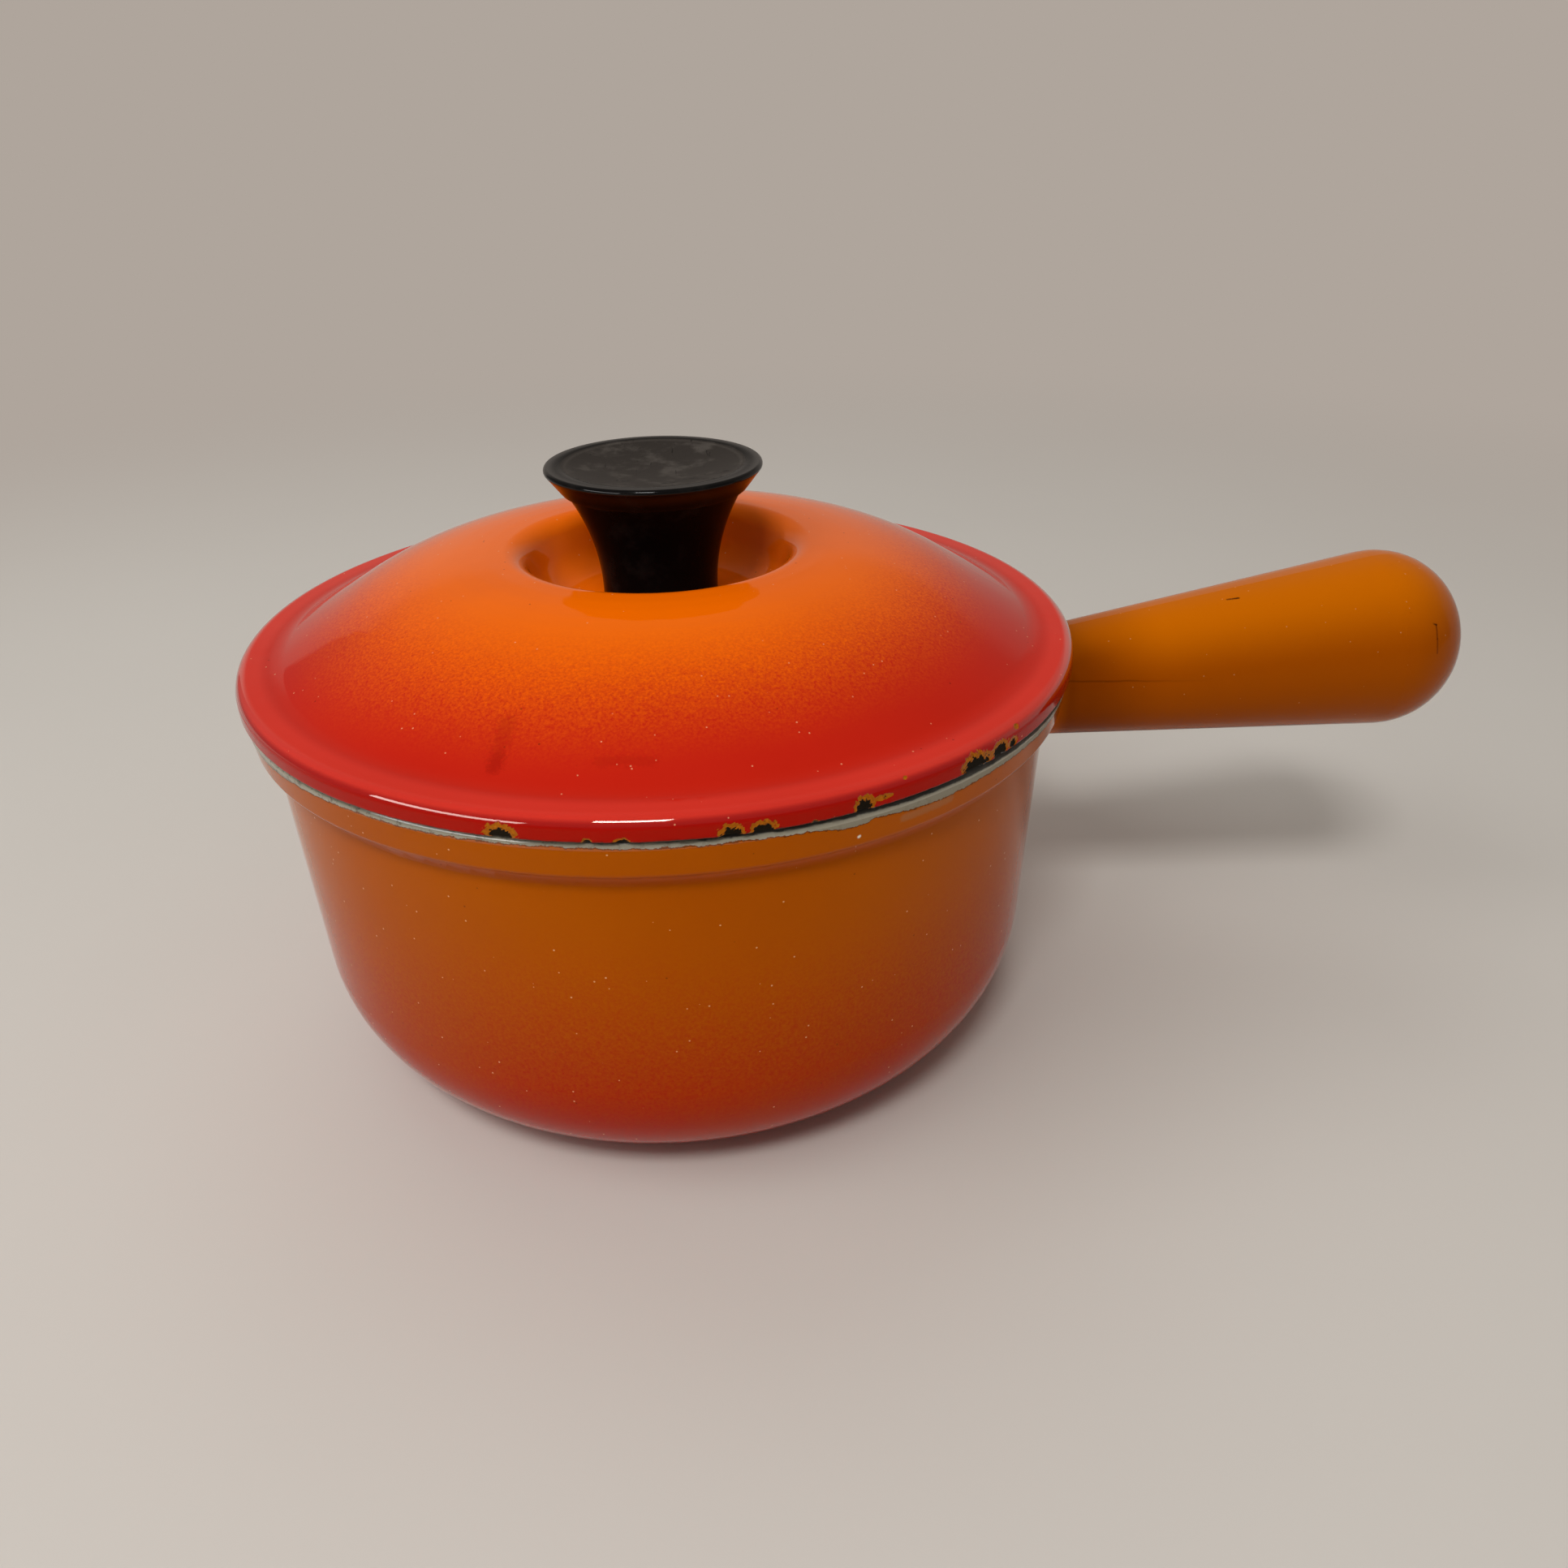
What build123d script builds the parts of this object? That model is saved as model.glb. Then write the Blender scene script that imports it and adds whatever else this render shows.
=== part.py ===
from build123d import *
import os
from math import atan2, cos, hypot, pi, radians, sin, tan

# Lidded saucepan of enamelled cast iron with a hollow handle cast in one with the bowl.
# Millimetres, +Z up. The origin is the centre of the base, on the surface the pan stands on,
# and +X runs along the handle.

# Enamel and iron
enamel = 0.4
iron = 4.0

# Bowl, sizes over the enamel
rim_height = 95.8
rim_radius = 94.6
rim_rounding = 1.6
coat_joint_below = 0.4
band_draft = 8.0
ledge_drop = 8.2
ledge_height = 1.6
ledge_depth = 3.3
ledge_rounding = 1.7
ledge_foot_rounding = 4.0
wall_draft = 2.6
corner_radius = 32.0
floor_thickness = 5.4
base_inset = 5.7
base_stand = 0.4

# Handle, measured along its own axis
handle_top_drop = 3.9
handle_rise = 4.75
handle_root_radius = 13.5
handle_flare = 5.8
handle_length = 103.4
handle_nose_flat = 2.4
handle_iron = 4.6
handle_root_length = 12.0
handle_root_rounding = 6.0
handle_root_spread = 8.0
handle_root_lean = 18.0
handle_root_sink = 1.0
hang_hole_radius = 6.0
hang_hole_coat_gap = 1.0

# Lid, sizes over the enamel
lid_overhang = 0.4
lid_lip_land = 0.2
lid_lip_underside_rounding = 2.0
lid_flange_width = 8.8
dome_rise = 18.15
dome_slope = 30.0
dome_foot_rounding = 8.0
crest_width = 0.2
crater_depth = 12.7
crater_slope = 65.0
crater_mouth_radius = 31.46
crater_mouth_rounding = 5.6
crater_foot_rounding = 10.4
spigot_gap = 0.9
spigot_depth = 4.6
spigot_width = 3.8
spigot_rounding = 1.2

# Knob
knob_height = 31.15
knob_radius = 24.3
knob_stem_radius = 13.2
knob_stem_height = 2.45
knob_neck_radius = 20.0
knob_rim_height = 5.55
knob_rim_slope = 38.0
knob_rim_rounding = 0.8
knob_rim_underside_rounding = 0.25
knob_rim_land = 2.1
knob_foot_rounding = 0.6
dish_depth = 2.9

# Screw that holds the knob, from under the lid
screw_radius = 2.5
screw_tip_gap = 1.8
screw_head_radius = 4.8
screw_head_height = 3.0
screw_head_rounding = 1.4
screw_slot_width = 1.2
screw_slot_depth = 1.5
screw_tip_chamfer = 0.5
screw_hole_gap = 0.5
thread_clearance = 0.05
washer_radius = 6.5
washer_thickness = 1.0
washer_gap = 0.3
spring_washer_radius = 4.6
spring_washer_thickness = 1.2
spring_washer_slit = 1.0
spring_washer_slit_angle = 25.0
insert_radius = 5.0
insert_thread_depth = 10.8
insert_end_wall = 1.2
insert_groove_width = 2.0
insert_groove_depth = 0.6

# Worked out from the sizes above
coating_wall = 2 * enamel + iron
coat_joint_height = rim_height - rim_rounding - coat_joint_below
floor_height = base_stand + floor_thickness
lid_radius = rim_radius + lid_overhang
lid_lip_rounding = coating_wall - lid_lip_underside_rounding - lid_lip_land
dome_foot_radius = lid_radius - lid_flange_width
flange_height = rim_height + coating_wall
crest_height = flange_height + dome_rise
seat_height = crest_height - crater_depth
seat_underside = seat_height - coating_wall
screw_hole_radius = screw_radius + screw_hole_gap
washer_bottom = seat_underside - washer_thickness
spring_washer_bottom = washer_bottom - spring_washer_thickness
insert_length = insert_thread_depth + insert_end_wall
screw_tip = seat_height + insert_thread_depth - screw_tip_gap
dish_radius = knob_radius - knob_rim_rounding - knob_rim_land


# A path is a list of corners (radius, height, rounding). The material is on its left.

def heading(start, end):
    return atan2(end[1] - start[1], end[0] - start[0])


def turn_at(path, index):
    before = heading(path[index - 1], path[index])
    after = heading(path[index], path[index + 1])
    turn = (after - before + pi) % (2 * pi) - pi
    return before, turn


def parallel(path, distance):
    # The path moved to its left, with every rounding kept concentric.
    last = len(path) - 1
    moved = []
    for index, (x, z, rounding) in enumerate(path):
        if index == 0:
            direction, turn = heading(path[0], path[1]), 0.0
        elif index == last:
            direction, turn = heading(path[-2], path[-1]), 0.0
        else:
            direction, turn = turn_at(path, index)
        slant = direction + turn / 2
        reach = distance / cos(turn / 2)
        inner = distance if turn > 0 else -distance
        new_rounding = max(rounding - inner, 0.0) if rounding else 0.0
        moved.append((x - reach * sin(slant), z + reach * cos(slant), new_rounding))
    return moved


def traced(path):
    # Straight runs and tangent arcs along a path, as edges in the XZ plane.
    edges = []
    start = path[0][:2]

    def run_to(point):
        if hypot(point[0] - start[0], point[1] - start[1]) > 1e-6:
            edges.append(Edge.make_line((start[0], 0, start[1]), (point[0], 0, point[1])))

    for index in range(1, len(path) - 1):
        x, z, rounding = path[index]
        before, turn = turn_at(path, index)
        cut = rounding * abs(tan(turn / 2))
        entry = (x - cut * cos(before), z - cut * sin(before))
        leave = (x + cut * cos(before + turn), z + cut * sin(before + turn))
        run_to(entry)
        if cut > 1e-6:
            side = 1 if turn > 0 else -1
            inward = before + turn / 2 + side * pi / 2
            depth = rounding / cos(turn / 2) - rounding
            middle = (x + depth * cos(inward), 0, z + depth * sin(inward))
            edges.append(Edge.make_three_point_arc((entry[0], 0, entry[1]), middle, (leave[0], 0, leave[1])))
        start = leave
    run_to(path[-1][:2])
    return edges


def turned(path, axis=Axis.Z):
    # Solid of revolution inside a path, closed by a straight run back to its start.
    first, last = path[0], path[-1]
    edges = traced(path)
    edges.append(Edge.make_line((last[0], 0, last[1]), (first[0], 0, first[1])))
    return revolve(Face(Wire(edges)), axis=axis)


def coat(path):
    # Layer of enamel under a path.
    return turned(path + parallel(path, enamel)[::-1])


def band_radius(height):
    return rim_radius - (rim_height - height) * tan(radians(band_draft))


ledge_top = rim_height - ledge_drop
ledge_bottom = ledge_top - ledge_height
wall_top_radius = band_radius(ledge_top) - ledge_depth


def wall_radius(height):
    return wall_top_radius - (ledge_bottom - height) * tan(radians(wall_draft))


corner_cut = corner_radius * tan(radians(90 - wall_draft) / 2)
base_radius = wall_radius(base_stand) - corner_cut - base_inset


def bowl_outside():
    return [
        (base_radius, base_stand, 0),
        (wall_radius(base_stand), base_stand, corner_radius),
        (wall_top_radius, ledge_bottom, ledge_foot_rounding),
        (band_radius(ledge_top), ledge_top, ledge_rounding),
        (band_radius(coat_joint_height), coat_joint_height, 0),
    ]


rim_inner_radius = band_radius(ledge_top) - coating_wall


def bowl_inside():
    inner_wall_top = (wall_top_radius - coating_wall, ledge_bottom - ledge_height, ledge_rounding)
    inner_corner = wall_radius(floor_height) - coating_wall
    return [
        (band_radius(coat_joint_height), coat_joint_height, 0),
        (rim_radius, rim_height, rim_rounding),
        (rim_inner_radius, rim_height, rim_rounding),
        (rim_inner_radius, ledge_top - ledge_height, ledge_rounding),
        inner_wall_top,
        (inner_corner, floor_height, corner_radius - coating_wall),
        (0, floor_height, 0),
    ]


def bowl_iron():
    outside = parallel(bowl_outside(), enamel)
    inside = parallel(bowl_inside(), enamel)
    return turned([(0, 0, 0), (base_radius, 0, 0)] + outside[:-1] + inside[1:])


handle_reach = rim_radius + handle_length
handle_meeting_height = rim_height - handle_top_drop - handle_root_radius / cos(radians(handle_rise))
handle_height = handle_meeting_height - rim_radius * tan(radians(handle_rise))


def handle_radius(station):
    return handle_root_radius + (station - rim_radius) * tan(radians(handle_flare))


nose_radius = handle_radius(handle_reach)
nose_rounding = (nose_radius - handle_nose_flat) / tan(radians(90 + handle_flare) / 2)


def handle_outside(depth):
    # From the middle of the nose back along the handle, spreading out into the bowl's wall.
    root = wall_radius(handle_meeting_height) - handle_root_sink
    lean = radians(handle_root_lean)
    spread = (root - handle_root_spread * sin(lean), handle_radius(root) + handle_root_spread * cos(lean), 0)
    path = [
        (handle_reach, 0, 0),
        (handle_reach, nose_radius, nose_rounding),
        (root, handle_radius(root), handle_root_rounding),
        spread,
    ]
    return parallel(path, depth)


def on_handle(shape):
    return Pos(0, 0, handle_height) * Rot(0, -handle_rise, 0) * shape


def bowl_hollow():
    # Everything inside the bowl's iron.
    inside = parallel(bowl_inside(), enamel)
    mouth = inside[3][0]
    mouth_top = rim_height + handle_root_spread
    return turned([(0, mouth_top, 0), (mouth, mouth_top, 0)] + inside[3:])


def handle_solid(depth):
    handle = on_handle(turned([(0, 0, 0)] + handle_outside(depth), Axis.X))
    return handle - bowl_hollow()


def handle_hollow():
    nose_end, nose, root = handle_outside(enamel + handle_iron)[:3]
    start = rim_radius + handle_root_length
    share = (start - root[0]) / (nose[0] - root[0])
    start_radius = root[1] + share * (nose[1] - root[1])
    start_corner = (start, start_radius, start_radius / 2)
    return on_handle(turned([nose_end, nose, start_corner, (start, 0, 0)], Axis.X))


def hang_hole(radius):
    drill = Rot(0, 90, 0) * Cylinder(radius, 2 * nose_rounding)
    return on_handle(Pos(handle_reach, 0, 0) * drill)


def handled_bowl(depth):
    # The bowl filled in up to the joint of its two coats, with the handle grown onto it.
    path = parallel(bowl_outside(), depth)
    bowl = turned([(0, path[0][1], 0)] + path + [(0, path[-1][1], 0)])
    return bowl + handle_solid(depth)


def pan_casting():
    casting = bowl_iron() + handle_solid(enamel)
    return casting - handle_hollow() - hang_hole(hang_hole_radius)


def pan_outer_enamel():
    skin = handled_bowl(0) - handled_bowl(enamel)
    pad = Pos(0, 0, base_stand) * Cylinder(base_radius, 4 * enamel)
    return skin - pad - hang_hole(hang_hole_radius + hang_hole_coat_gap)


def pan_inner_enamel():
    return coat(bowl_inside())


lid_joint_height = rim_height + lid_lip_underside_rounding


def lid_top():
    dome_corner = dome_foot_radius - dome_rise / tan(radians(dome_slope))
    crater_corner = crater_mouth_radius - crater_depth / tan(radians(crater_slope))
    mouth_cut = crater_mouth_rounding * tan(radians(crater_slope) / 2)
    crown_cut = dome_corner - crater_mouth_radius - mouth_cut - crest_width
    crown_rounding = crown_cut / tan(radians(dome_slope) / 2)
    return [
        (lid_radius, lid_joint_height, 0),
        (lid_radius, flange_height, lid_lip_rounding),
        (dome_foot_radius, flange_height, dome_foot_rounding),
        (dome_corner, crest_height, crown_rounding),
        (crater_mouth_radius, crest_height, crater_mouth_rounding),
        (crater_corner, seat_height, crater_foot_rounding),
        (screw_hole_radius, seat_height, 0),
    ]


def lid_underside():
    spigot_radius = rim_inner_radius - spigot_gap
    spigot_inner = spigot_radius - spigot_width
    spigot_bottom = rim_height - spigot_depth
    foot, dome, mouth, seat, hole = parallel(lid_top(), coating_wall)[2:]
    slope = (dome[1] - foot[1]) / (dome[0] - foot[0])
    spigot_root = foot[1] + slope * (spigot_inner - foot[0])
    return [
        hole,
        seat,
        mouth,
        dome,
        (spigot_inner, spigot_root, spigot_rounding),
        (spigot_inner, spigot_bottom, spigot_rounding),
        (spigot_radius, spigot_bottom, spigot_rounding),
        (spigot_radius, rim_height, 0),
        (lid_radius, rim_height, lid_lip_underside_rounding),
        (lid_radius, lid_joint_height, 0),
    ]


def lid_casting():
    underside = parallel(lid_underside(), enamel)
    top = parallel(lid_top(), enamel)
    return turned(underside[:-1] + top)


def lid_outer_enamel():
    return coat(lid_top())


def lid_inner_enamel():
    return coat(lid_underside())


def insert_envelope():
    groove_bottom = seat_height + (insert_length - insert_groove_width) / 2
    groove_top = groove_bottom + insert_groove_width
    groove_radius = insert_radius - insert_groove_depth
    return turned([
        (0, seat_height, 0),
        (insert_radius, seat_height, 0),
        (insert_radius, groove_bottom, 0),
        (groove_radius, groove_bottom, 0),
        (groove_radius, groove_top, 0),
        (insert_radius, groove_top, 0),
        (insert_radius, seat_height + insert_length, 0),
        (0, seat_height + insert_length, 0),
    ])


def knob_insert():
    on_seat = (Align.CENTER, Align.CENTER, Align.MIN)
    thread = Cylinder(screw_radius + thread_clearance, insert_thread_depth, align=on_seat)
    return insert_envelope() - Pos(0, 0, seat_height) * thread


def knob_section():
    # From the middle of the seat out over the stem, up the hollowed flank and round the rim to the dish.
    top = seat_height + knob_height
    rim_bottom = top - knob_rim_height
    flare_start = seat_height + knob_stem_height
    flare_rise = rim_bottom - flare_start
    flare_out = knob_neck_radius - knob_stem_radius
    flare_radius = (flare_rise ** 2 + flare_out ** 2) / (2 * flare_out)
    flare_angle = 2 * atan2(flare_out, flare_rise)
    rim_corner_radius = knob_radius + knob_rim_rounding * (1 / tan(radians(45 - knob_rim_slope / 2)) - 1)
    rim_foot_radius = rim_corner_radius - knob_rim_height * tan(radians(knob_rim_slope))

    def on_flare(angle):
        radius = knob_stem_radius + flare_radius * (1 - cos(angle))
        return (radius, 0, flare_start + flare_radius * sin(angle))

    foot = traced([
        (0, seat_height, 0),
        (knob_stem_radius, seat_height, knob_foot_rounding),
        (knob_stem_radius, flare_start, 0),
    ])
    flare = Edge.make_three_point_arc(on_flare(0), on_flare(flare_angle / 2), on_flare(flare_angle))
    rim = traced([
        (knob_neck_radius, rim_bottom, 0),
        (rim_foot_radius, rim_bottom, knob_rim_underside_rounding),
        (rim_corner_radius, top, knob_rim_rounding),
        (dish_radius, top, 0),
    ])
    dish_sphere = (dish_radius ** 2 + dish_depth ** 2) / (2 * dish_depth)
    half_dish = dish_radius / 2
    half_depth = dish_depth - dish_sphere + (dish_sphere ** 2 - half_dish ** 2) ** 0.5
    dish_bottom = (0, 0, top - dish_depth)
    dish = Edge.make_three_point_arc((dish_radius, 0, top), (half_dish, 0, top - half_depth), dish_bottom)
    core = Edge.make_line(dish_bottom, (0, 0, seat_height))
    return Face(Wire(foot + [flare] + rim + [dish, core]))


def knob():
    return revolve(knob_section(), axis=Axis.Z) - insert_envelope()


def knob_screw():
    head_bottom = spring_washer_bottom - screw_head_height
    body = turned([
        (0, head_bottom, 0),
        (screw_head_radius, head_bottom, screw_head_rounding),
        (screw_head_radius, spring_washer_bottom, 0),
        (screw_radius, spring_washer_bottom, 0),
        (screw_radius, screw_tip - screw_tip_chamfer, 0),
        (screw_radius - screw_tip_chamfer, screw_tip, 0),
        (0, screw_tip, 0),
    ])
    slot = Pos(0, 0, head_bottom) * Box(3 * screw_head_radius, screw_slot_width, 2 * screw_slot_depth)
    return body - slot


def washer_ring(radius, bottom, thickness):
    align = (Align.CENTER, Align.CENTER, Align.MIN)
    ring = Cylinder(radius, thickness, align=align)
    hole = Cylinder(screw_radius + washer_gap, thickness, align=align)
    return Pos(0, 0, bottom) * (ring - hole)


def plain_washer():
    return washer_ring(washer_radius, washer_bottom, washer_thickness)


def spring_washer():
    ring = washer_ring(spring_washer_radius, spring_washer_bottom, spring_washer_thickness)
    slit = Box(2 * spring_washer_radius, spring_washer_slit, 4 * spring_washer_thickness)
    slit = Rot(spring_washer_slit_angle, 0, 0) * slit
    middle = spring_washer_bottom + spring_washer_thickness / 2
    return ring - Pos(spring_washer_radius, 0, middle) * slit


pieces = {
    "pan_casting": pan_casting,
    "pan_outer_enamel": pan_outer_enamel,
    "pan_inner_enamel": pan_inner_enamel,
    "lid_casting": lid_casting,
    "lid_outer_enamel": lid_outer_enamel,
    "lid_inner_enamel": lid_inner_enamel,
    "knob": knob,
    "knob_insert": knob_insert,
    "knob_screw": knob_screw,
    "plain_washer": plain_washer,
    "spring_washer": spring_washer,
}

os.makedirs("parts", exist_ok=True)
for name, make in pieces.items():
    export_step(make(), f"parts/{name}.step")
    print("wrote", name)
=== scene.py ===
import bmesh
import bpy
import math
import numpy as np
from mathutils import Matrix, Vector


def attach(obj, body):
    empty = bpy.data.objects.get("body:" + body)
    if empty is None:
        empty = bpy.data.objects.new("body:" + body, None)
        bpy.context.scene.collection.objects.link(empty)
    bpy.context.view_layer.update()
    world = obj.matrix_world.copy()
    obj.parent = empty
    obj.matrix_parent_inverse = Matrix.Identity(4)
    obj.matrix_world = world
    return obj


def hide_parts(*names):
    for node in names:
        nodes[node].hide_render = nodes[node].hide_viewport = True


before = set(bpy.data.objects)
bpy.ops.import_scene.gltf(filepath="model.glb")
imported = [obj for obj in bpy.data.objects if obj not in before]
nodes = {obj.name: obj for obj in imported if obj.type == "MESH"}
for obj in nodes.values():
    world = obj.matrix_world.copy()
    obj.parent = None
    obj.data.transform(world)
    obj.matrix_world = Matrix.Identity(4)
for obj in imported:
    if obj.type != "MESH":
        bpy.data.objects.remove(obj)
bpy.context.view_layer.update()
scene = bpy.context.scene
scene.view_settings.view_transform = "Standard"
mm = 0.001
fullTurn = 2 * math.pi
print("frame loaded:", ", ".join(sorted(nodes)))


# sRGB 0-255 to the linear colour that sockets take
def paint(red, green, blue):
    def linear(c):
        c = c / 255
        return c / 12.92 if c <= 0.04045 else ((c + 0.055) / 1.055) ** 2.4
    return (linear(red), linear(green), linear(blue), 1.0)


class Tree:
    # short hand for one node tree: add a node, wire it, do sums
    def __init__(self, tree):
        self.tree = tree

    def add(self, kind, settings=None, **sockets):
        node = self.tree.nodes.new("ShaderNode" + kind)
        for key, value in (settings or {}).items():
            setattr(node, key, value)
        for key, value in sockets.items():
            self.feed(value, node.inputs[key])
        return node

    def use(self, group, **sockets):
        return self.add("Group", {"node_tree": group}, **sockets).outputs

    def feed(self, value, socket):
        if isinstance(value, bpy.types.NodeSocket):
            self.tree.links.new(value, socket)
        else:
            socket.default_value = value

    def sum(self, operation, *values, clamp=False):
        node = self.add("Math", {"operation": operation, "use_clamp": clamp})
        for value, socket in zip(values, node.inputs):
            self.feed(value, socket)
        return node.outputs[0]

    def plus(self, one, two, clamp=False):
        return self.sum("ADD", one, two, clamp=clamp)

    def minus(self, one, two):
        return self.sum("SUBTRACT", one, two)

    def times(self, one, two, clamp=False):
        return self.sum("MULTIPLY", one, two, clamp=clamp)

    def timesPlus(self, one, two, more):
        return self.sum("MULTIPLY_ADD", one, two, more)

    def distance(self, one, two):
        return self.sum("SQRT", self.plus(self.sum("POWER", one, 2.0), self.sum("POWER", two, 2.0)))

    def mix(self, factor, one, two):
        node = self.add("Mix", {"data_type": "RGBA"})
        for value, number in ((factor, 0), (one, 6), (two, 7)):   # 6 and 7 are the colour sockets
            self.feed(value, node.inputs[number])
        return node.outputs[2]

    def step(self, value, low, high, out0=0.0, out1=1.0):
        node = self.add("MapRange", {"interpolation_type": "SMOOTHSTEP"})
        for given, socket in zip((value, low, high, out0, out1), node.inputs):
            self.feed(given, socket)
        return node.outputs[0]

    def noise(self, where, scale, detail=2.0, rough=0.5):
        return self.add("TexNoise", Vector=where, Scale=scale, Detail=detail, Roughness=rough).outputs["Fac"]

    def ripple(self, where, scale, detail=2.0, rough=0.5):   # noise about zero
        return self.minus(self.noise(where, scale, detail, rough), 0.5)

    def cells(self, where, scale):
        return self.add("TexVoronoi", {"feature": "F1"}, Vector=where, Scale=scale).outputs

    def attribute(self, name):
        return self.add("Attribute", {"attribute_name": name}).outputs["Fac"]

    def bump(self, shader, height, strength, depth):
        node = self.add("Bump", Height=height, Strength=strength, Distance=depth)
        self.feed(node.outputs[0], shader.inputs["Normal"])


# inputs that start at None are points, the other inputs and all outputs are values
def newGroup(name, inputs, outputs):
    group = bpy.data.node_groups.new(name, "ShaderNodeTree")
    for socketName, start in inputs.items():
        kind = "NodeSocketVector" if start is None else "NodeSocketFloat"
        socket = group.interface.new_socket(socketName, in_out="INPUT", socket_type=kind)
        if start is not None:
            socket.default_value = start
    for socketName in outputs:
        group.interface.new_socket(socketName, in_out="OUTPUT", socket_type="NodeSocketFloat")
    given = group.nodes.new("NodeGroupInput").outputs
    gives = group.nodes.new("NodeGroupOutput").inputs
    return group, Tree(group), given, gives


def newMaterial(name):
    material = bpy.data.materials.new(name)
    material.use_nodes = True
    t = Tree(material.node_tree)
    t.tree.nodes.clear()
    shader = t.add("BsdfPrincipled")
    t.feed(shader.outputs[0], t.add("OutputMaterial").inputs[0])
    where = t.add("TexCoord").outputs["Object"]
    return material, t, shader, where


def dress(node, material):
    nodes[node].data.materials.clear()
    nodes[node].data.materials.append(material)


glazeLook = {
    "swell": 75.0, "peel": 620.0, "peelShare": 0.16, "cloud": 22.0,
    # specks: cells per metre, size within a cell, share of cells left empty
    "Pale": (420.0, 0.1, 0.66), "Dark": (300.0, 0.08, 0.82), "speckCore": 0.55, "speckEdge": 0.02,
}


def makeGlaze(look):
    # fired enamel: slow swell, orange peel, pale pinholes and dark kiln specks
    group, t, given, gives = newGroup(
        "enamelGlaze", {"Position": None, "Peel": 1.0, "Specks": 1.0}, ["Height", "Pale", "Dark", "Cloud"])
    where = given["Position"]
    swell = t.noise(where, look["swell"])
    height = t.timesPlus(t.noise(where, look["peel"]), look["peelShare"], swell)
    t.feed(t.times(height, given["Peel"]), gives["Height"])
    for name in ("Pale", "Dark"):
        scale, size, empty = look[name]
        cells = t.cells(where, scale)
        dot = t.step(cells["Distance"], size, size * look["speckCore"])
        drawn = t.add("SeparateColor", Color=cells["Color"]).outputs[0]
        some = t.step(drawn, empty, empty + look["speckEdge"])
        t.feed(t.times(t.times(dot, some), given["Specks"], clamp=True), gives[name])
    t.feed(t.noise(where, look["cloud"], 3.0), gives["Cloud"])
    return group


sprayLook = {"driftScale": 14.0, "dropletRough": 0.7}


def makeSpray(look):
    # one colour sprayed over another: droplets thin out from Far to Near
    group, t, given, gives = newGroup("sprayedFade", {
        "Position": None, "Along": 0.0, "Near": 0.0, "Far": 1.0,
        "Drift": 0.0, "Grain": 0.3, "Droplet": 1500.0}, ["Fade"])
    where = given["Position"]
    drift = t.times(t.ripple(where, look["driftScale"], 1.0), given["Drift"])
    fade = t.step(t.plus(given["Along"], drift), given["Near"], given["Far"])
    droplets = t.ripple(where, given["Droplet"], 2.0, look["dropletRough"])
    middle = t.times(t.times(fade, t.minus(1.0, fade)), 4.0)   # only where the two meet
    speckle = t.times(t.times(droplets, middle), given["Grain"])
    t.feed(t.plus(fade, speckle, clamp=True), gives["Fade"])
    return group


rubLook = {"patch": (0.48, 0.68), "scratch": (0.62, 0.7), "patchHeight": 0.3, "scratchDepth": 0.2,
           "stretch": (1.0, 0.06, 1.0), "turn": (0.2, 0.1, 0.7)}


def makeRub(look):
    # handling marks: fine scratches and duller rubbed patches
    group, t, given, gives = newGroup(
        "rubbedSurface", {"Position": None, "Patch": 60.0, "Scratch": 500.0}, ["Rubbed", "Scratches", "Height"])
    patch = t.noise(given["Position"], given["Patch"], 4.0, 0.6)
    t.feed(t.step(patch, *look["patch"]), gives["Rubbed"])
    drawnOut = t.add("Mapping", Vector=given["Position"], Scale=look["stretch"], Rotation=look["turn"]).outputs[0]
    scratches = t.step(t.noise(drawnOut, given["Scratch"], 3.0, 0.7), *look["scratch"])
    t.feed(scratches, gives["Scratches"])
    height = t.minus(t.times(patch, look["patchHeight"]), t.times(scratches, look["scratchDepth"]))
    t.feed(height, gives["Height"])
    return group


strokeLook = {"fray": 1400.0, "frayRough": 0.65, "soft": (1.0, 0.3)}


def makeStroke(look):
    # a soft mark along a straight run From one point To another
    group, t, given, gives = newGroup("markStroke", {
        "Position": None, "From": None, "To": None, "Width": 1 * mm, "Ragged": 0.5}, ["Mark"])

    def vector(operation, one, two):
        node = t.add("VectorMath", {"operation": operation})
        t.feed(one, node.inputs[0])
        t.feed(two, node.inputs[1])
        return node.outputs["Value" if operation in ("DOT_PRODUCT", "DISTANCE") else "Vector"]

    run = vector("SUBTRACT", given["To"], given["From"])
    gone = vector("SUBTRACT", given["Position"], given["From"])
    share = t.sum("DIVIDE", vector("DOT_PRODUCT", gone, run), vector("DOT_PRODUCT", run, run), clamp=True)
    nearest = t.add("VectorMath", {"operation": "SCALE"}, Scale=share)
    t.feed(run, nearest.inputs[0])
    away = vector("DISTANCE", gone, nearest.outputs[0])
    fray = t.timesPlus(t.ripple(given["Position"], look["fray"], 3.0, look["frayRough"]), given["Ragged"], 1.0)
    t.feed(t.step(t.sum("DIVIDE", away, t.times(given["Width"], fray)), *look["soft"]), gives["Mark"])
    return group


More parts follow.
